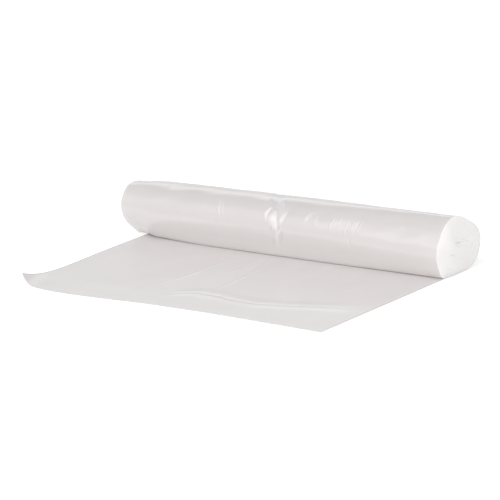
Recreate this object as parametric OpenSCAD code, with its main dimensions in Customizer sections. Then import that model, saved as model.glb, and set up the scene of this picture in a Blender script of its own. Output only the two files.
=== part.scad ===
// Coreless roll of C-folded bin bags, lying on its side with the end of the first bag unrolled.
// X runs along the roll, the unrolled sheet points to -Y and Z is up, all in millimetres.
// The origin is on the floor, under the roll's axis at mid length.

/* [Roll] */
// Width of the folded web that is wound up
web_w = 338; // [240:1:440]
// How far the turns wander along the roll, past the outermost one
wander = 14; // [2:1:20]
// Height of the roll as it lies
roll_h = 43; // [32:0.5:60]
// Width of the flat spot that the soft roll rests on
flat_w = 28; // [10:1:30]
// How far the middle of each end bulges out
end_bulge = 1.4; // [0.5:0.1:4]

/* [Turns] */
// Thickness of one wound turn, as drawn at the ends
turn_t = 1.9; // [1.5:0.1:4]
// Gap that shows between two turns at the ends
turn_gap = 0.35; // [0.2:0.05:0.6]
// Depth of that gap, from the rim of the end
gap_depth = 1.6; // [0.5:0.1:4]
// Width of the collapsed hollow in the middle
heart_w = 8; // [4:0.5:10]
// Height of the collapsed hollow
heart_h = 1.2; // [0.6:0.1:2]

/* [Sheet] */
// Thickness of the folded web
web_t = 0.6; // [0.4:0.05:1]
// Reach of the sheet in front of the axis, at the near end
sheet_l = 146; // [100:1:300]
// How much further the torn edge reaches at its far end
tear_skew = 9; // [0:0.5:15]
// Spacing of the perforation's teeth
tooth_pitch = 3.2; // [2.5:0.1:6]
// Depth of the perforation's teeth
tooth_d = 0.7; // [0.3:0.1:1.2]

/* [Fold] */
// Place of the gap between the two folded flaps, along the roll
fold_x = 4; // [-40:1:40]
// Width of that gap where it goes round the roll
fold_w = 12; // [6:1:20]
// Depth of the valley that it leaves round the roll
fold_dip = 0.5; // [0.2:0.05:0.8]
// How far the gap has opened at the torn edge, to each side
fold_spread = 38; // [10:1:60]
// How much thinner the sheet is in the gap
flap_t = 0.2; // [0.1:0.05:0.3]
// Angle from the crown to the pucker in the valley
pucker_at = 60; // [40:1:80]
// Half length of the pucker round the roll
pucker_l = 10; // [6:0.5:14]
// Height of the pucker above the roll
pucker_h = 0.8; // [0.4:0.1:1.2]

/* [Seal] */
// Distance of the bag's bottom seal from the torn edge
seal_in = 38; // [20:1:60]
// Width of the seal's bead
seal_w = 1.4; // [0.8:0.1:3]
// Height of the bead above the sheet
seal_h = 0.3; // [0.1:0.05:0.6]

/* [Curled corner] */
// Length of torn edge that has curled up
curl_x = 50; // [30:1:70]
// Length of side edge that has curled up
curl_y = 36; // [25:1:50]
// Radius of the curl
curl_r = 40; // [30:1:80]

/* [Hidden] */
$fn = 144;
film = [0.93, 0.93, 0.92];
roll_l = web_w + wander;
x_near = roll_l / 2;
x_far = x_near - web_w;
big = 2 * max(roll_l, sheet_l);

// The section is a circle cut off flat by the floor.
crown_r = roll_h / 2 + flat_w * flat_w / (8 * roll_h);
axis_z = roll_h - crown_r;

// The pucker at the valley's edge is this much smaller than the one inside it.
lesser = 0.8;

// Depth of a turn's outline under the roll's outline, and as many as leave room for the hollow.
heart_wall = 2;
turns = floor((min(crown_r - heart_w / 2, roll_h / 2 - heart_h) - web_t - heart_wall) / turn_t);
function turn_depth(k) = web_t + k * turn_t;

// The torn edge runs slanting across the web, with a whole number of teeth.
function tear_y(x) = -sheet_l - tear_skew * (x_near - x) / web_w;
function tear_point(i) = [x_far + i * tooth_x, tear_y(x_far + i * tooth_x)];
teeth = floor(web_w / tooth_pitch);
tooth_x = web_w / teeth;
flat_outline = concat(
    [[x_far, 0], [x_near, 0], tear_point(teeth)],
    [for (i = [teeth - 1 : -1 : 0]) each [tear_point(i + 0.5) + [0, tooth_d], tear_point(i)]]
);

// The corner bends up about an axis along the slanting line from a to b.
bend_a = [x_far, tear_y(x_far) + curl_y];
bend_b = [x_far + curl_x, tear_y(x_far + curl_x)];
bend_dir = (bend_b - bend_a) / norm(bend_b - bend_a);
bend_out = [bend_dir[1], -bend_dir[0]];
function past_bend(p) = (p - bend_a) * bend_out;
function curled_in(p) = p + bend_out * (curl_r * sin(past_bend(p) / curl_r * 180 / PI) - past_bend(p));

// Outline of a turn at some depth: the crown's arc, cut off at its own flat underside.
module outline(depth) {
    intersection() {
        translate([0, axis_z]) circle(crown_r - depth);
        translate([-big, depth]) square([2 * big, roll_h]);
    }
}

// Half a winding of a spiral, behind or in front of the axis. The front half is centred half a
// step higher, so the halves meet at the crown and lie a step apart underneath.
module half_winding(depth, step, front) {
    intersection() {
        translate([0, front * step / 2]) outline(depth + front * step / 2);
        mirror([front, 0]) translate([0, -big]) square(2 * big);
    }
}

module winding(depth, step) {
    for (front = [0, 1]) half_winding(depth, step, front);
}

// The gap under a winding, all the way round.
module winding_gap(depth, step) {
    difference() {
        winding(depth - turn_gap / 2, step);
        winding(depth + turn_gap / 2, step);
    }
}

// Draws a section that lies in the Y and Z directions, out along X.
module along(from, to) {
    translate([from, 0, 0]) rotate([90, 0, 90]) linear_extrude(to - from) children();
}

// The wound part: the outer wrap over the turns, which wander out past its far edge.
module wound() {
    difference() {
        union() {
            along(x_far, x_near) winding(0, web_t);
            along(-x_near, x_near) winding(web_t, web_t);
            inner_turns();
        }
        along(-big, big) heart();
        for (end = [0, 1]) mirror([end, 0, 0]) turn_gaps();
    }
}

// The turns inside, where each half turn stands out a little further than the one around it.
module inner_turns() {
    for (k = [1 : turns], front = [0, 1]) {
        reach = x_near + end_bulge * (2 * k - 1 + front) / (2 * turns);
        along(-reach, reach) half_winding(turn_depth(k), turn_t, front);
    }
}

// The gaps that show between the turns at one end.
module turn_gaps() {
    along(x_near - gap_depth, x_near + 2 * end_bulge) {
        for (k = [1 : turns]) winding_gap(turn_depth(k), turn_t);
    }
}

// The hollow where the winding began, pressed to a slit.
module heart() {
    slit_r = (heart_w * heart_w + heart_h * heart_h) / (4 * heart_h);
    translate([0, roll_h / 2 + turn_t / 4]) {
        intersection() {
            translate([0, slit_r - heart_h / 2]) circle(slit_r);
            translate([0, heart_h / 2 - slit_r]) circle(slit_r);
        }
    }
}

// The valley round the roll where the two flaps don't meet.
module fold_valley() {
    along(fold_x - fold_w / 2, fold_x + fold_w / 2) {
        difference() {
            translate([-big, web_t]) square([2 * big, 2 * roll_h]);
            winding(fold_dip, web_t);
        }
    }
}

// A lens of film that has bulged out of the valley.
module pucker(x, half_l, height) {
    lens_r = 1 / (1 / crown_r + 2 * height / (half_l * half_l));
    translate([x, 0, axis_z]) rotate([pucker_at, 0, 0]) {
        translate([0, 0, crown_r + height - lens_r]) rotate([0, 90, 0]) sphere(lens_r);
    }
}

// Outline of the unrolled sheet seen from above, with the teeth of the torn edge. Points past the
// bend have come in as the corner curled up.
module sheet_outline() {
    polygon([for (p = flat_outline) past_bend(p) > 0 ? curled_in(p) : p]);
}

// The gap between the two flaps, which opens towards the torn edge.
module flap_gap() {
    polygon([
        [fold_x - fold_w / 2, 0],
        [fold_x + fold_w / 2, 0],
        [fold_x + (fold_w + fold_spread) / 2, -sheet_l / 2],
        [fold_x + fold_spread, -big],
        [fold_x - fold_spread, -big],
        [fold_x - (fold_w + fold_spread) / 2, -sheet_l / 2]
    ]);
}

// The sheet's section across the bend: flat up to it, then a quarter of a tube's wall.
module bend_section() {
    translate([-big, 0]) square([big, web_t]);
    translate([0, curl_r + web_t]) {
        difference() {
            intersection() {
                circle(curl_r + web_t);
                translate([0, -2 * curl_r]) square(2 * curl_r);
            }
            circle(curl_r);
        }
    }
}

// The sheet: its section drawn out along the bend and cut to its outline.
module sheet() {
    turn_to_bend = atan2(bend_out[1], bend_out[0]);
    difference() {
        intersection() {
            translate(bend_a) rotate([90, 0, turn_to_bend]) {
                linear_extrude(2 * big, center = true) bend_section();
            }
            translate([0, 0, -curl_r]) linear_extrude(2 * curl_r) sheet_outline();
        }
        translate([0, 0, web_t - flap_t]) linear_extrude(web_t) flap_gap();
    }
}

// The bead of the bag's bottom seal, as far as the sheet lies flat.
module seal() {
    from = [x_near, tear_y(x_near) + seal_in];
    to = [x_far, tear_y(x_far) + seal_in];
    bead_r = (seal_w * seal_w / 4 + seal_h * seal_h) / (2 * seal_h);
    intersection() {
        translate([from[0], from[1], web_t + seal_h - bead_r]) {
            rotate([0, 0, atan2(to[1] - from[1], to[0] - from[0])]) rotate([0, 90, 0]) {
                translate([0, 0, -big]) cylinder(r = bead_r, h = 3 * big);
            }
        }
        linear_extrude(web_t + 2 * seal_h) {
            polygon([for (p = flat_outline) if (past_bend(p) < 0) p]);
        }
    }
}

module bag_roll() {
    color(film) {
        difference() {
            wound();
            fold_valley();
        }
        pucker(fold_x - fold_w / 4, pucker_l, pucker_h);
        pucker(fold_x + fold_w / 2, pucker_l * lesser, pucker_h * lesser);
        sheet();
        seal();
    }
}

bag_roll();
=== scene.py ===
import math

import bmesh
import bpy
from mathutils import Matrix, Vector, noise


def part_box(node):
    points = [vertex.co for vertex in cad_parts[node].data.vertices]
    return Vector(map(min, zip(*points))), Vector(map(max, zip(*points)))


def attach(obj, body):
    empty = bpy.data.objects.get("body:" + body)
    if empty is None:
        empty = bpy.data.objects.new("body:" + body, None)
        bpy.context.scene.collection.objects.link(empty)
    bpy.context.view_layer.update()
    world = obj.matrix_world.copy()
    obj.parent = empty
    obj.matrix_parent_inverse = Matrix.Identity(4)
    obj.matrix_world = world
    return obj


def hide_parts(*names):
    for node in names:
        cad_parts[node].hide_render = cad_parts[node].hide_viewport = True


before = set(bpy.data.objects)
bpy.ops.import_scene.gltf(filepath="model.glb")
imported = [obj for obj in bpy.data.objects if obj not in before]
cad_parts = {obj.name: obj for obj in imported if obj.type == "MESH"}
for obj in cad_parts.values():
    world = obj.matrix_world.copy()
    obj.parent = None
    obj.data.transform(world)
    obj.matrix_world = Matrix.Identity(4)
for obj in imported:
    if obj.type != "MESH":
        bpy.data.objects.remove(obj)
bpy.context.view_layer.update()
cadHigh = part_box("bag_roll")[1]
print("Frame loaded")

mm = 0.001
crown = cadHigh.z / mm  # the roll lies on the floor, so its crown is its height
seedsApart = 17


def mix(a, b, share):
    return a + (b - a) * share


def smooth(start, end, value):
    share = min(max((value - start) / (end - start), 0), 1)
    return share * share * (3 - 2 * share)


def rounded(value, floor, softness):  # the larger of the two, with a soft corner between them
    return (value + floor + math.hypot(value - floor, softness)) / 2


def through(points, at):  # a smooth curve through a few (where, value) points
    k = 0
    while k < len(points) - 2 and at > points[k + 1][0]:
        k += 1
    (start, low), (end, high) = points[k:k + 2]
    before, after = points[max(k - 1, 0)], points[min(k + 2, len(points) - 1)]
    leaving = (high - before[1]) / (end - before[0]) * (end - start)
    arriving = (after[1] - low) / (after[0] - start) * (end - start)
    t = min(max((at - start) / (end - start), 0), 1)
    ease = t * t * (3 - 2 * t)
    return mix(low, high, ease) + t * (1 - t) * mix(leaving, -arriving, t)


def wander(x, y, z, seed):  # smooth noise, about -1 to 1
    return noise.noise(Vector((x, y, z + seedsApart * seed)))


# The film itself, in mm. Angles go from the crown down the front, the way the film is wound, and x
# goes along the roll from its middle. A pair is where something starts and where it is complete.
roll = {
    "half": 176,  # from the middle to the near end
    "nearHalf": 175.6,  # where the edges of the turns stand there
    "farEdge": -162,  # where the outermost turn ends at the far end
    "farHalf": 177.5,  # the turns have wandered out a little further there
    "radiusFar": 23.0,
    "radiusNear": 23.7,
    # How the soft roll has sagged out of round at its middle and at its two ends, as (angle, mm) points.
    "sagMiddle": [
        (0, 0), (40, 0), (90, 0.1), (112, 1), (124, 2.9), (131, 4.6), (137, 5.4), (145, 4), (154, 0),
        (200, 0), (360, 0),
    ],
    "sagFar": [
        (-16, -1.7), (1, -0.8), (17, 0.8), (30, 1.6), (49, 1.3), (73, 1), (86, 0.3), (100, -0.7),
        (118, -1.8), (129, -2.2), (143, -1.9), (157, -0.7), (200, 0), (290, 0), (344, -1.7), (361, -0.8),
    ],
    "sagNear": [
        (-16, -0.6), (2, 0.1), (19, -1.3), (48, -3.3), (64, -3.3), (91, -1.6), (111, -0.2), (124, 1.5),
        (133, 2.6), (141, 1.8), (152, -1), (170, -4.4), (194, -4.7), (214, -3.6), (232, -2), (250, -1.1),
        (276, 0.7), (293, 0.4), (323, -1.6), (344, -0.6), (362, 0.1),
    ],
    "nearFrom": 20,  # x from which the roll takes on its near end's outline
    "farBetween": (-142, -174),  # and its far end's
    "firmBetween": (-70, -160),  # towards the far end the middle's sag lessens,
    "firmer": 0.55,  # by this share of it
    "layer": 0.34,  # the folded film, drawn thicker than it is
    "rests": 1.1,  # layers between the floor and the outermost turn
    "crease": 0.4,  # how softly that turn bends where it meets the sheet
    "edgeStep": 0.2,  # half the width of the step down from the outermost turn's far edge
}


def section(angle, x, lift):  # the roll's outline at x, as (y, z)
    turn = math.radians(angle)
    near, far = smooth(roll["nearFrom"], roll["half"], x), smooth(*roll["farBetween"], x)
    firmer = roll["firmer"] * smooth(*roll["firmBetween"], x)
    radius = mix(roll["radiusFar"], roll["radiusNear"], near)
    sag = through(roll["sagMiddle"], angle % 360) * (1 - firmer)
    sag = mix(sag, through(roll["sagFar"], angle % 360), far)
    sag = mix(sag, through(roll["sagNear"], angle % 360), near)
    reach = radius + lift + sag
    return -reach * math.sin(turn), crown - radius + reach * math.cos(turn)


# Where the two flaps of the folded film leave a gap, and how the gap runs round the roll.
band = {
    "x": 5.5,  # its middle, on the front
    "back": 22,  # how far it strays to the left over the crown
    "backBetween": (55, -30),
    "foot": 3.5,  # and towards the sheet
    "footBetween": (70, 125),
    "shows": (48, 32),  # the angles at which it comes out of the pleats
    "width": 11,
    "edge": 1.2,  # the width of its steep left side
    "slope": 6,  # and of its right side
    "dip": 0.3,
}


def bandX(angle):
    back = band["back"] * smooth(*band["backBetween"], angle)
    foot = band["foot"] * smooth(*band["footBetween"], angle)
    return band["x"] - back - foot


# Pleats where the film has bunched up in that gap. Each has a crest, given as (angle, x) points. It
# slopes up to it from the left and falls away to the right, and gets narrow towards its two ends. It
# is highest half way along its crest, or further on where it is late.
pleats = [
    {
        "crest": [(37, 3.4), (49, 5.4), (63, 7.7), (76, 8.9), (91, 8.6)],
        "rise": 11, "fall": 1.1, "height": 1.7, "late": 1.2,
    },
    {
        "crest": [(32, 0.8), (38, -1.8), (46, -3.5), (57, -3.9), (73, -3.4)],
        "rise": 3.4, "fall": 0.8, "height": 1,
    },
    {
        "crest": [(40, 16.2), (47, 15.6), (57, 14.9), (67, 13), (82, 9.2)],
        "rise": 4.2, "fall": 1.4, "height": 0.85,
    },
    {"crest": [(72, 13.6), (86, 11.4), (98, 8.6), (120, 6.6)], "rise": 4.4, "fall": 1.6, "height": 0.75},
    {
        "crest": [(4, -2.4), (16, 4.2), (28, 7.8), (38, 9.8), (52, 11.6)],
        "rise": 9, "fall": 2, "height": 0.4,
    },
    {"crest": [(66, 11), (78, 10.4), (90, 9.4)], "rise": 1.4, "fall": 1.4, "height": -1.1},
    {"crest": [(33, -2.4), (37, 0.4), (41, 3)], "rise": 1.8, "fall": 1.2, "height": -0.8},
    {"crest": [(84, 14.8), (98, 12.2), (114, 9.2)], "rise": 1.4, "fall": 2.6, "height": -0.8},
    {"crest": [(72, 2.4), (86, 1), (99, -0.6)], "rise": 2, "fall": 2, "height": -0.7},
    {"crest": [(96, 4.8), (110, 1.6), (126, 0.4)], "rise": 1.6, "fall": 1.6, "height": -0.6},
    {"crest": [(35, -61), (54, -58.8), (75, -56.4)], "rise": 1.8, "fall": 0.8, "height": 1},
    {"crest": [(40, -56.4), (66, -54.6)], "rise": 1.6, "fall": 0.8, "height": 0.7},
    {"crest": [(33, 43.8), (44, 41.8), (54, 39.6), (64, 39.4)], "rise": 2.4, "fall": 1, "height": 1},
    {"crest": [(38, 50.2), (56, 50.6), (70, 51.4)], "rise": 2.4, "fall": 1.4, "height": 0.6},
    {"crest": [(80, 86.4), (98, 88)], "rise": 1, "fall": 1, "height": -0.6},
    {"crest": [(38, 136.4), (50, 138.6)], "rise": 1.5, "fall": 1.1, "height": 0.6},
]
ripples = {  # a row of small, nearly straight pleats on the near half
    "from": 68,
    "to": 100,
    "apart": 3.2,
    "astray": 0.4,  # how far each is off its place, as a share of that
    "start": 34,  # the angles between which the longest one runs
    "end": 80,
    "later": 14,  # how much later one may start, and how much sooner end
    "sooner": 18,
    "lean": 2,  # how far it leans to the left, in so many degrees
    "leanOver": 40,
    "rise": 1.8,
    "fall": 0.8,
    "height": 0.65,
    "uneven": 0.8,
}
for k in range(round((ripples["to"] - ripples["from"]) / ripples["apart"])):
    x = ripples["from"] + (k + ripples["astray"] * wander(k, 0.5, 0, 5)) * ripples["apart"]
    first = ripples["start"] + ripples["later"] * abs(wander(k, 2.5, 0, 6))
    last = ripples["end"] - ripples["sooner"] * abs(wander(k, 4.5, 0, 7))
    pleats.append({
        "crest": [(first, x), (last, x - ripples["lean"] * (last - first) / ripples["leanOver"])],
        "rise": ripples["rise"],
        "fall": ripples["fall"],
        "height": ripples["height"] * (1 + ripples["uneven"] * wander(k, 6.5, 0, 8)),
    })
pleatFoot = 0.12  # how softly a pleat comes up out of the film, as a share of its height


def pleat(fold, at, across):
    first, last = fold["crest"][0][0], fold["crest"][-1][0]
    if not first < at < last:
        return 0
    swell = math.sin(math.pi * ((at - first) / (last - first)) ** fold.get("late", 1))
    offset = across - through(fold["crest"], at)
    if offset < 0:
        return fold["height"] * swell * rounded(1 + offset / (fold["rise"] * swell), 0, pleatFoot)
    return fold["height"] * swell * smooth(fold["fall"], 0, offset)


def inBand(angle, x):  # it shows over the crown, as far as the pleats
    edge = smooth(band["edge"], 0, abs(x - bandX(angle)) - band["width"] / 2)
    return smooth(*band["shows"], abs(angle)) * edge


def bandDip(angle, x):  # it falls sharply at the left flap and comes up slowly to the right one
    offset, half = x - bandX(angle), band["width"] / 2
    left = smooth(-half - band["edge"], -half, offset)
    return smooth(*band["shows"], abs(angle)) * left * smooth(half, half - band["slope"], offset)


# The film's tone value goes by how it is stacked: 0 is two layers only, then come the four where the flaps
# are, and the edges of the turns. On the roll, a painted highlight lightens it where pleats stand up.
stack = {"four": 1, "edges": 2}
# Painted highlight: the height of a pleat lightens the film's tone there, in place of its gloss.
paintedPleatHighlight = {"share": 0.5, "power": 0.9, "most": 0.75}  # how the height of a pleat adds to that


# Painted highlight on the raised pleats, as a lighter tone.
def paintedHighlightOnPleats(angle, x):
    height = sum(max(pleat(p, angle, x), 0) for p in pleats)
    return min(paintedPleatHighlight["share"] * height ** paintedPleatHighlight["power"], paintedPleatHighlight["most"])


slack = {  # of the outermost turn
    "height": 0.36,
    "waves": (30, 50),  # mm along the roll and degrees round it
    "twist": 45,  # degrees in which they move on by one
    "small": 0.2,  # the height of the smaller waves on them, as a share
    "smallWaves": (8, 30),
    "calm": 25,  # mm from an end within which it gets less
}


def filmRelief(angle, x):
    (long, around), (smallLong, smallAround) = slack["waves"], slack["smallWaves"]
    waves = wander(x / long + angle / slack["twist"], angle / around, 0, 1)
    waves += slack["small"] * wander(x / smallLong, angle / smallAround, 0, 2)
    calm = smooth(roll["half"], roll["half"] - slack["calm"], abs(x))
    folds = sum(pleat(p, angle, x) for p in pleats)
    return slack["height"] * waves * calm - band["dip"] * bandDip(angle, x) + folds


# A grid laid over a surface, with a vertex for each column and row. place(column, row) gives its
# point, how the film is stacked there plus any painted highlight, and where the point is on the flat film,
# all in mm.
gridHalf = 0.5
merged = 0.01  # vertices this close become one


def layOver(name, columns, rows, place, closed=False):
    bm = bmesh.new()
    bmesh.ops.create_grid(bm, x_segments=len(columns) - 1, y_segments=len(rows) - 1, size=gridHalf)
    flat = bm.loops.layers.uv.new("flat")
    pliesAndPaintedHighlight = bm.verts.layers.float.new("pliesAndPaintedHighlight")
    onFilm = {}
    for vert in bm.verts:
        column = columns[round((vert.co.x + gridHalf) * (len(columns) - 1))]
        row = rows[round((vert.co.y + gridHalf) * (len(rows) - 1))]
        point, vert[pliesAndPaintedHighlight], onFilm[vert] = place(column, row)
        vert.co = Vector(point) * mm
    for face in bm.faces:
        for loop in face.loops:
            loop[flat].uv = Vector(onFilm[loop.vert]) * mm
    if closed:
        bmesh.ops.remove_doubles(bm, verts=bm.verts, dist=merged * mm)
        bmesh.ops.recalc_face_normals(bm, faces=bm.faces)
    mesh = bpy.data.meshes.new(name)
    bm.to_mesh(mesh)
    bm.free()
    mesh.shade_smooth()
    piece = bpy.data.objects.new(name, mesh)
    bpy.context.scene.collection.objects.link(piece)
    return piece


def spaced(start, end, step):  # from start to just short of end
    count = max(1, round(abs(end - start) / step))
    return [mix(start, end, k / count) for k in range(count)]


def stepped(stops, end):  # on from each (start, step) to the next start, up to the end
    ends = [start for start, step in stops[1:]] + [end]
    return [at for (start, step), stop in zip(stops, ends) for at in spaced(start, stop, step)] + [end]


# The end of the first bag, which runs out from under the roll.
sheet = {
    "tear": [  # the torn edge, as (x, y) points
        (-162, -153.2), (-147, -154.3), (-125, -156.2), (-90, -155.9), (-35, -151.8), (0, -149),
        (70, -146.8), (176, -146.8),
    ],
    "tearWave": (0.5, 60),  # how far the edge strays from them, and over what length
    "contact": 14.5,  # how far in front of the axis the sheet meets the roll
    "contactWave": (1.2, 70),
    "length": 134,  # from the torn edge to the roll
    "under": 12,  # how much more of it lies under the roll
    "narrowing": 6,  # how far the far edge comes in towards the tear
    "narrowFrom": -60,
    "teeth": 105,
    "toothDepth": 0.7,
    "toothReach": 3,  # mm behind the tear in which the notches even out
    "slack": 0.45,  # how far it lifts off the floor in soft waves
    "slackWaves": (42, 36),  # their length along the roll and towards it
    "slackFront": (-6, 8),  # mm behind the torn edge where they start
    "slackBack": 30,  # mm in front of the roll where they start to end
    "steps": [(0, 0.75), (3, 2), (24, 1.2), (48, 2.6)],  # the mesh's rows, as (from, apart)
    "lastSteps": [(-6, 1.5), (0, 4)],  # and from the roll on
}
seal = {  # across the bag's bottom: a low swell with a groove along it
    "line": [  # as (x, y) points
        (-40, -128), (-11, -124.6), (15, -115), (54, -117), (77, -118), (103, -112.5), (144, -102.5),
        (176, -97),
    ],
    "wave": (0.8, 16),  # how far it strays from them, and over what length
    "height": 0.45,
    "left": (-16, 4),  # the swell's two ends, as x
    "right": (168, 140),
    "front": (-9, -2),  # and its two sides, from the line
    "back": (14, 2),
    "grooveFront": -2,  # the groove is deepest on the line and this wide
    "grooveBack": 3,
    "groove": 1.5,  # its depth and how much that varies, as shares of the swell
    "uneven": 1.2,
    "unevenOver": 9,
    "faint": 0.35,  # what is left of the groove at the near end
    "faintBetween": (110, 30),
    "tone": (1, -2),  # where the film's tone changes, from the line
}
corner = {
    "side": 54,  # how much of the side edge has curled up
    "edge": 28,  # how much of the torn edge has
    "turn": 70,  # how far round the tip has come, in degrees
    "tighter": 2,  # how much of that comes near the tip
    "steps": 12,
}


def waveAlong(x, wave, seed):
    height, length = wave
    return height * wander(x / length, 0, 0, seed)


def tearY(x):
    return through(sheet["tear"], x) + waveAlong(x, sheet["tearWave"], 3)


def contactY(x):
    return -sheet["contact"] + waveAlong(x, sheet["contactWave"], 4)


def sealY(x):
    return through(seal["line"], x) + waveAlong(x, seal["wave"], 15)


def sealRelief(x, y):
    behind = y - sealY(x)
    ends = smooth(*seal["left"], x) * smooth(*seal["right"], x)
    swell = smooth(*seal["front"], behind) * smooth(*seal["back"], behind)
    groove = smooth(seal["grooveFront"], 0, behind) * smooth(seal["grooveBack"], 0, behind)
    depth = seal["groove"] + seal["uneven"] * wander(x / seal["unevenOver"], 0, 0, 14)
    groove *= depth * mix(seal["faint"], 1, smooth(*seal["faintBetween"], x))
    return seal["height"] * ends * (swell - groove)


toothX = (roll["half"] - roll["farEdge"]) / sheet["teeth"]
creases = [  # on the sheet, as (y, x) points from front to back
    {"crest": [(-82, -4.4), (-60, -3.2), (-42, -4.2), (-26, -7.2)], "rise": 1.2, "fall": 1.2, "height": 0.6},
    {"crest": [(-112, 20.5), (-80, 19), (-53, 14), (-30, 2.5)], "rise": 2.0, "fall": 1.4, "height": 0.5},
    {"crest": [(-118, -41), (-84, -31), (-50, -30), (-34, -18)], "rise": 1.2, "fall": 2.4, "height": 0.4},
]


def sheetPoint(x, fromTear):
    front, back = tearY(x), contactY(x)
    share = fromTear / sheet["length"]
    notch = 1 - abs(((x - roll["farEdge"]) / toothX) % 1 - 0.5) * 2
    y = mix(front, back, share)
    y += sheet["toothDepth"] * notch * smooth(sheet["toothReach"], 0, fromTear)
    lie = smooth(*sheet["slackFront"], y - front) * smooth(0, sheet["slackBack"], back - y)
    along, across = sheet["slackWaves"]
    z = roll["layer"] / 2
    z += sheet["slack"] * lie * (0.5 + 0.5 * wander(x / along, y / across, 0, 9)) ** 2
    z += sum(pleat(c, y, x) for c in creases)
    z += sealRelief(x, y)
    x += sheet["narrowing"] * smooth(sheet["narrowFrom"], roll["farEdge"], x) * smooth(back, front, y)
    return curlUp(x, y, z)


tip = Vector((roll["farEdge"] + sheet["narrowing"], tearY(roll["farEdge"])))
bendFrom = tip + Vector((0, corner["side"]))
bendAlong = Vector((corner["edge"], -corner["side"])).normalized()
bendOut = Vector((bendAlong.y, -bendAlong.x))
curled = (tip - bendFrom).dot(bendOut)


def curlUp(x, y, z):
    past = (Vector((x, y)) - bendFrom).dot(bendOut)
    if past <= 0:
        return (x, y, z)
    steps = corner["steps"]
    along = rise = 0
    for k in range(steps):
        s = past * (k + 0.5) / steps
        angle = math.radians(corner["turn"]) * (s / curled) ** corner["tighter"]
        along += math.cos(angle) * past / steps
        rise += math.sin(angle) * past / steps
    shift = bendOut * (along - past)
    return (x + shift.x, y + shift.y, z + rise)


flapGap = {  # where the gap between the flaps lies on the sheet, as (y, x) points
    "left": [(-156, -52), (-118, -42), (-84, -31), (-50, -30), (-20, -8)],
    "right": [(-156, 24), (-112, 20.5), (-80, 19), (-53, 14), (-20, -2)],
    "leftEdge": (-2, 3),
    "rightEdge": (3, -2),
}


def pastEdge(place, edge, at):
    return smooth(place + edge[0], place + edge[1], at)


def sheetStack(x, y):
    gap = pastEdge(through(flapGap["left"], y), flapGap["leftEdge"], x)
    gap *= pastEdge(through(flapGap["right"], y), flapGap["rightEdge"], x)
    return (1 - gap) * (1 - pastEdge(sealY(x), seal["tone"], y))


def laidPoint(x, row):
    if row <= sheet["length"]:
        point = sheetPoint(x, row)
        return point, sheetStack(point[0], point[1]), (x, row)
    beyond = row - sheet["length"]  # flat under the roll, as far as the foot of its back
    return (x, contactY(x) + beyond, roll["layer"] / 2), stack["four"], (x, row)


def laidColumns():  # two for each tooth
    return spaced(roll["farEdge"], roll["half"], toothX / 2) + [roll["half"]]


def laidRows():
    length = sheet["length"]
    last = [(length + start, step) for start, step in sheet["lastSteps"]]
    return stepped(sheet["steps"] + last, length + sheet["under"])


laid = layOver("unrolled_sheet", laidColumns(), laidRows(), laidPoint)
thickness = laid.modifiers.new("layer", "SOLIDIFY")
thickness.thickness = roll["layer"] * mm
thickness.offset = 0
print("Sheet laid out,", len(laid.data.polygons), "faces")

# The turns: one closed body whose ends show the edges of the turns round a pressed hollow.
turns = {
    "count": 20,
    "bulge": 1.3,  # how far the middle of an end stands out
    "bulgePower": 2.2,  # more leaves it flatter there
    "rim": 0.06,  # the share of an end, at its rim, where its relief fades out
    "groove": 0.2,  # between the edges of two turns
    "grooveSharp": 3,
    "grooveFrom": 0.1,  # as a share of the way from the hollow to the rim
    "stray": 0.4,  # how far an edge strays, as a share of a turn
    "strayOver": 8,
    "uneven": 0.3,  # how far single turns stand in or out
    "unevenTurns": 0.7,  # how quickly that changes from turn to turn
    "unevenWaves": (0.6, 0.23),  # a slower change on top: its share and how quick it is
    "unevenPatches": (0.8, 12),  # and one that is the same for turns that lie close: its share and size
    "lip": 2,  # how far the edges of the turns slope back towards the front
    "lipFrom": -8,
    "lipOver": 13,
    "lipSoft": 0.15,
    "slitAt": (-1, 23.2),  # the hollow, off the middle of the end
    "slitHalf": 2.5,
    "slitHigh": 0.4,
    "slitDeep": 1.4,
    "slitFloor": 0.1,  # what it deepens by as it closes
    "backFrom": 200,  # the angle from which the side counts as the back, with angles below 0
    "calmFront": (135, 118),  # where its relief fades out towards the floor
    "calmBack": (-150, -120),
    "endOnFilm": 20,  # where an end lies on the flat film, past the web's edge
    # Folds in the edges of the turns at the near end, as (y, z) points.
    "folds": [
        {
            "crest": [(-3.4, 25), (0.8, 24.6), (3.7, 23.4), (7.2, 21), (11.4, 18)],
            "rise": 0.7, "fall": 2.2, "height": 1.1,
        },
        {"crest": [(-11.4, 17), (-8, 16.1), (-5, 15.2)], "rise": 0.9, "fall": 0.9, "height": -0.8},
        {"crest": [(-19, 8), (-13, 6.3), (-7, 4.6)], "rise": 0.8, "fall": 0.8, "height": -0.9},
    ],
    # Rows of the mesh: for each turn, down the hollow, from the near end, along the side as
    # (from, apart), by the outermost turn's far edge and from the far end.
    "samples": 7,
    "slitRows": [1.1, 0.7, 0.3],
    "nearRows": [0.2, 0.8],
    "sideFrom": (2, 2.2),
    "sideRows": [(102, 0.62), (60, 1.4), (22, 0.55), (-13, 1.8), (-54, 0.8), (-64, 2.6)],
    "sideTo": 1.2,
    "edgeRows": [0.4, 0.2, -0.2, -0.4, -1.2, -6],
    "farRows": [4, 2, 0.8, 0.2],
    # Its columns, as angles and the steps on from them. They are closer together down the front.
    "columns": [(0, 1.6), (126, 2.4), (160, 4.5), (340, 2)],
}


def endPoint(side, share, angle):  # a point on an end: share 1 is at the rim, 0 at the hollow
    turn = math.radians(angle)
    rimY, rimZ = sidePoint(angle, side * roll["half"], 0)
    slitY = turns["slitAt"][0] - turns["slitHalf"] * math.sin(turn)
    slitZ = turns["slitAt"][1] + turns["slitHigh"] * math.cos(turn)
    return mix(slitY, rimY, share), mix(slitZ, rimZ, share)


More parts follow.
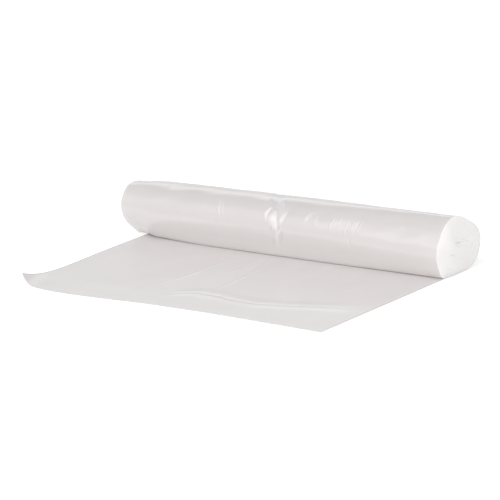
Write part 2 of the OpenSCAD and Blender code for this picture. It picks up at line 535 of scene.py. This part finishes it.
def unevenness(side, number, y, z):  # of the turn with this number, not the same at both ends
    (waves, pace), (patches, size) = turns["unevenWaves"], turns["unevenPatches"]
    offset = wander(number * turns["unevenTurns"], side * 9, 0, 11)
    offset += waves * wander(number * pace, side * 5, 3, 12)
    return offset + patches * wander(y / size, z / size, side * 4, 13)


def endRelief(side, share, angle, y, z):
    over = turns["strayOver"]
    index = turns["count"] * (1 - share) - angle / 360
    index += turns["stray"] * wander(y / over, z / over, side, 10)
    groove = max(0, math.cos(2 * math.pi * index)) ** turns["grooveSharp"]
    groove *= smooth(0, turns["grooveFrom"], share)
    offset = unevenness(side, math.floor(index) + angle / 360, y, z)
    dome = turns["bulge"] * (1 - share ** turns["bulgePower"])
    folds = 0
    if side > 0:
        folds = sum(pleat(fold, y, z) for fold in turns["folds"])
        slopes = rounded((turns["lipFrom"] - y) / turns["lipOver"], 0, turns["lipSoft"])
        dome += turns["lip"] * (1 - slopes)
    rim = smooth(0, turns["rim"], 1 - share)
    return dome + rim * (turns["uneven"] * offset - turns["groove"] * groove + folds)


def endHalf(side):
    return roll["nearHalf"] if side > 0 else roll["farHalf"]


def sidePoint(angle, x, relief):  # on the outermost turn, or on the next one past its far edge
    edge, half = roll["farEdge"], roll["edgeStep"]
    y, z = section(angle, x, relief - roll["layer"] * smooth(edge + half, edge - half, x))
    return y, rounded(z, roll["layer"] * roll["rests"], roll["crease"])


def turnsPoint(angle, row):
    kind, side, at = row
    across = at if kind == "side" else side * (roll["half"] + turns["endOnFilm"])
    onFilm = (across, angle * math.radians(roll["radiusFar"]))
    if kind == "side":
        seen = angle if angle < turns["backFrom"] else angle - 360
        calm = smooth(*turns["calmFront"], seen) * smooth(*turns["calmBack"], seen)
        y, z = sidePoint(angle, at, calm * filmRelief(seen, at))
        # Tone value: the film's stacking, plus a painted highlight where pleats stand up.
        return (at, y, z), stack["four"] - inBand(seen, at) + paintedHighlightOnPleats(seen, at), onFilm
    if kind == "end":
        y, z = endPoint(side, at, angle)
        x = side * (endHalf(side) + endRelief(side, at, angle % 360, y, z))
        return (x, y, z), stack["edges"], onFilm
    y, z = endPoint(side, 0, angle)
    if at > turns["slitDeep"]:  # the hollow's floor closes on a line
        z = turns["slitAt"][1]
    return (side * (endHalf(side) + turns["bulge"] - at), y, z), stack["edges"], onFilm


def turnsRows():  # along the surface from the near hollow over the side to the far hollow
    hollow = [turns["slitDeep"] + turns["slitFloor"], turns["slitDeep"]] + turns["slitRows"]
    steps = turns["count"] * turns["samples"]
    shares = [k / steps for k in range(steps + 1)]
    near, far, edge = endHalf(1), -endHalf(-1), roll["farEdge"]
    inset, step = turns["sideFrom"]
    sides = [near - d for d in turns["nearRows"]]
    sides += stepped([(near - inset, step)] + turns["sideRows"], edge + turns["sideTo"])
    sides += [edge + d for d in turns["edgeRows"]] + [far + d for d in turns["farRows"]]
    rows = [("hollow", 1, d) for d in hollow] + [("end", 1, share) for share in shares]
    rows += [("side", 0, x) for x in sides]
    return rows + [("end", -1, share) for share in shares[::-1]] + [("hollow", -1, d) for d in hollow[::-1]]


body = layOver("wound_turns", stepped(turns["columns"], 360), turnsRows(), turnsPoint, closed=True)
print("Turns wound,", len(body.data.polygons), "faces")


def toLinear(code):  # from sRGB hex to the colour that a shader takes
    parts = [int(code[k:k + 2], 16) / 255 for k in (1, 3, 5)]
    return tuple(c / 12.92 if c <= 0.04045 else ((c + 0.055) / 1.055) ** 2.4 for c in parts) + (1,)


def addNode(material, kind, settings=None, links=None, **attributes):
    node = material.node_tree.nodes.new(kind)
    for name, value in attributes.items():
        setattr(node, name, value)
    for name, value in (settings or {}).items():
        node.inputs[name].default_value = value
    for name, source in (links or {}).items():
        material.node_tree.links.new(source, node.inputs[name])
    return node


def newMaterial(name):
    material = bpy.data.materials.new(name)
    material.use_nodes = True
    material.node_tree.nodes.clear()
    return material


film = {
    # Tones are of two layers only, of the four under the flaps, and of the stacked edges. Softness is
    # how much of the light goes on through the layers, and gleam how much the surface mirrors.
    "slack": {"tones": ("#E5E1E1", "#E4DFDF", "#E4DFDF"), "roughness": 0.19, "softness": 0, "gleam": 0.5},
    "wound": {"tones": ("#DFDDDE", "#E1DDDC", "#F6F2F2"), "roughness": 0.14, "softness": 0.6, "gleam": 1},
    "reach": 9,  # mm that the light goes on for
    "ior": 1.54,
    "streak": 1.6,  # mm between the lines that the die leaves along the film
    "streakLong": 60,
    "streaky": 0.05,  # how much rougher or smoother the film is in a line
    "cloud": 26,  # mm across the faint clouds in it
    "cloudy": 0.025,  # how much lighter or darker they are
    "crumple": 3.2,  # mm across its crumples
    "crumpleDeep": 0.1,
    "crumpled": 0.3,  # how much of that depth shows
}


# Natural high density polythene, blown into film: milky, with a satin gloss that is broken by
# fine crumples and by faint lines along the web. Wound up, its layers pass light on to each other.
def blownFilm(name, look):
    material = newMaterial(name)
    pliesAndPaintedHighlight = addNode(material, "ShaderNodeAttribute", attribute_name="pliesAndPaintedHighlight")
    where = addNode(material, "ShaderNodeTexCoord")
    across = addNode(
        material, "ShaderNodeMapping",
        {"Scale": (1 / (film["streak"] * mm), 1 / (film["streakLong"] * mm), 1)},
        {"Vector": where.outputs["UV"]},
    )
    lines = addNode(
        material, "ShaderNodeTexNoise", {"Scale": 1, "Detail": 2},
        {"Vector": across.outputs["Vector"]},
    )
    clouds = addNode(
        material, "ShaderNodeTexNoise", {"Scale": 1 / (film["cloud"] * mm), "Detail": 3},
        {"Vector": where.outputs["Object"]},
    )
    crumple = addNode(
        material, "ShaderNodeTexNoise",
        {"Scale": 1 / (film["crumple"] * mm), "Detail": 3, "Roughness": 0.5},
        {"Vector": where.outputs["Object"]},
    )
    # The tone value carries the film's stacking and the painted highlight on raised pleats.
    toneShare = addNode(
        material, "ShaderNodeMapRange", {"From Max": stack["edges"]}, {"Value": pliesAndPaintedHighlight.outputs["Fac"]},
    )
    base = addNode(material, "ShaderNodeValToRGB", {}, {"Fac": toneShare.outputs["Result"]})
    ramp = base.color_ramp.elements
    ramp.new(stack["four"] / stack["edges"])
    for stop, tone in zip(ramp, look["tones"]):
        stop.color = toLinear(tone)
    tint = addNode(
        material, "ShaderNodeMapRange", {"To Min": 1 - film["cloudy"], "To Max": 1 + film["cloudy"]},
        {"Value": clouds.outputs["Fac"]},
    )
    shade = addNode(
        material, "ShaderNodeMixRGB", {"Fac": 1},
        {"Color1": base.outputs["Color"], "Color2": tint.outputs["Result"]}, blend_type="MULTIPLY",
    )
    gloss = addNode(
        material, "ShaderNodeMapRange",
        {"To Min": look["roughness"] - film["streaky"], "To Max": look["roughness"] + film["streaky"]},
        {"Value": lines.outputs["Fac"]},
    )
    bump = addNode(
        material, "ShaderNodeBump", {"Strength": film["crumpled"], "Distance": film["crumpleDeep"] * mm},
        {"Height": crumple.outputs["Fac"]},
    )
    shader = addNode(
        material, "ShaderNodeBsdfPrincipled",
        {
            "IOR": film["ior"], "Specular IOR Level": look["gleam"],
            "Subsurface Weight": look["softness"], "Subsurface Radius": (1, 1, 1),
            "Subsurface Scale": film["reach"] * mm,
        },
        {
            "Base Color": shade.outputs["Color"], "Roughness": gloss.outputs["Result"],
            "Normal": bump.outputs["Normal"],
        },
    )
    addNode(material, "ShaderNodeOutputMaterial", {}, {"Surface": shader.outputs["BSDF"]})
    return material


laid.data.materials.append(blownFilm("natural HDPE blown film", film["slack"]))
body.data.materials.append(blownFilm("natural HDPE blown film, wound up", film["wound"]))
for piece in (laid, body):
    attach(piece, "root")
    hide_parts("bag_roll")
print("Film finished")

# A white paper floor in a pale room, softboxes round it and the camera at the photo's angle.
studio = {
    "floor": "#F0F0F0",
    "floorHalf": 6000,  # mm from its middle to its sides
    "floorGlow": 0.4,  # what the camera and reflections see, on top of the light on it
    "walls": (0.48, 0.66),  # the height, as a share of straight up, at which walls end and ceiling starts
    "ceiling": 0.25,
    "sky": 0.8,
    "softboxes": {  # the direction that each stands in, its distance and sides in mm, and how bright it is
        "window": {"towards": (-0.95, -0.13, 0.21), "distance": 1600, "sides": (960, 860), "level": 0.8},
        "left": {"towards": (-0.45, -0.66, 0.55), "distance": 1500, "sides": (500, 700), "level": 0.6},
        "low": {"towards": (0.3, -0.95, 0.12), "distance": 1500, "sides": (1800, 360), "level": 1.75},
        "above": {"towards": (0.15, -0.55, 0.83), "distance": 1700, "sides": (1300, 1300), "level": 1.4},
        "side": {"towards": (1, -0.25, 0.2), "distance": 1600, "sides": (1000, 900), "level": 1.5},
        "rim": {"towards": (-0.71, 0.5, 0.5), "distance": 1600, "sides": (900, 400), "level": 0.45},
    },
    "camera": {
        "place": (1406.0, -1285.0, 520.7), "heading": -48.6, "down": 15.166, "tilt": -8.4,
        "lens": 181.1, "sensor": 36, "clip": (50, 50000),
    },
}


def seenDirectly(material):  # 1 for the camera, for reflections and through glass
    path = addNode(material, "ShaderNodeLightPath")
    either = addNode(
        material, "ShaderNodeMath", {},
        {0: path.outputs["Is Camera Ray"], 1: path.outputs["Is Glossy Ray"]}, operation="MAXIMUM",
    )
    return addNode(
        material, "ShaderNodeMath", {},
        {0: either.outputs["Value"], 1: path.outputs["Is Transmission Ray"]}, operation="MAXIMUM",
    ).outputs["Value"]


bm = bmesh.new()
bmesh.ops.create_grid(bm, x_segments=1, y_segments=1, size=studio["floorHalf"] * mm)
floorMesh = bpy.data.meshes.new("floor")
bm.to_mesh(floorMesh)
bm.free()
floor = bpy.data.objects.new("floor", floorMesh)
bpy.context.scene.collection.objects.link(floor)
paper = newMaterial("white paper backdrop")
matt = addNode(paper, "ShaderNodeBsdfDiffuse", {"Color": toLinear(studio["floor"])})
lit = addNode(
    paper, "ShaderNodeMath", {1: studio["floorGlow"]}, {0: seenDirectly(paper)}, operation="MULTIPLY",
)
glow = addNode(paper, "ShaderNodeEmission", {}, {"Strength": lit.outputs["Value"]})
both = addNode(paper, "ShaderNodeAddShader", {}, {0: matt.outputs["BSDF"], 1: glow.outputs["Emission"]})
addNode(paper, "ShaderNodeOutputMaterial", {}, {"Surface": both.outputs["Shader"]})
floorMesh.materials.append(paper)

world = bpy.data.worlds.new("studio")
bpy.context.scene.world = world
world.use_nodes = True
world.node_tree.nodes.clear()
direction = addNode(world, "ShaderNodeTexCoord").outputs["Generated"]
height = addNode(world, "ShaderNodeSeparateXYZ", {}, {0: direction})
room = addNode(  # white walls under a dimmer ceiling, which is what the film's gloss shows
    world, "ShaderNodeMapRange",
    {
        "From Min": studio["walls"][0], "From Max": studio["walls"][1],
        "To Min": 1, "To Max": studio["ceiling"],
    },
    {"Value": height.outputs["Z"]}, interpolation_type="SMOOTHSTEP",
)
byCamera = addNode(world, "ShaderNodeLightPath").outputs["Is Camera Ray"]
backdrop = addNode(world, "ShaderNodeMath", {}, {0: room.outputs["Result"], 1: byCamera}, operation="MAXIMUM")
brightness = addNode(
    world, "ShaderNodeMapRange", {"To Min": studio["sky"]},
    {"Value": seenDirectly(world), "To Max": backdrop.outputs["Value"]},
)
sky = addNode(world, "ShaderNodeBackground", {}, {"Strength": brightness.outputs["Result"]})
addNode(world, "ShaderNodeOutputWorld", {}, {"Surface": sky.outputs["Background"]})

for name, lamp in studio["softboxes"].items():
    light = bpy.data.lights.new(name + " softbox", "AREA")
    light.shape = "RECTANGLE"
    light.size, light.size_y = (side * mm for side in lamp["sides"])
    light.energy = lamp["level"] * math.pi * light.size * light.size_y  # watts for a diffuser of that level
    holder = bpy.data.objects.new(name + "_softbox", light)
    towards = Vector(lamp["towards"]).normalized()
    holder.location = towards * lamp["distance"] * mm
    holder.rotation_euler = towards.to_track_quat("Z", "Y").to_euler()
    bpy.context.scene.collection.objects.link(holder)

seat = studio["camera"]
heading, down, tilt = (math.radians(seat[k]) for k in ("heading", "down", "tilt"))
ahead = Vector((math.sin(heading) * math.cos(down), math.cos(heading) * math.cos(down), -math.sin(down)))
level = Vector((math.cos(heading), -math.sin(heading), 0))
upright = level.cross(ahead)
right = math.cos(tilt) * level + math.sin(tilt) * upright
up = math.cos(tilt) * upright - math.sin(tilt) * level
lens = bpy.data.cameras.new("camera")
lens.sensor_width = seat["sensor"]
lens.lens = seat["lens"]
lens.clip_start, lens.clip_end = (d * mm for d in seat["clip"])
camera = bpy.data.objects.new("camera", lens)
turned = Matrix((right, up, -ahead)).transposed().to_4x4()
camera.matrix_world = Matrix.Translation(Vector(seat["place"]) * mm) @ turned
bpy.context.scene.collection.objects.link(camera)
bpy.context.scene.camera = camera
bpy.context.scene.view_settings.view_transform = "Standard"
print("Studio lit")
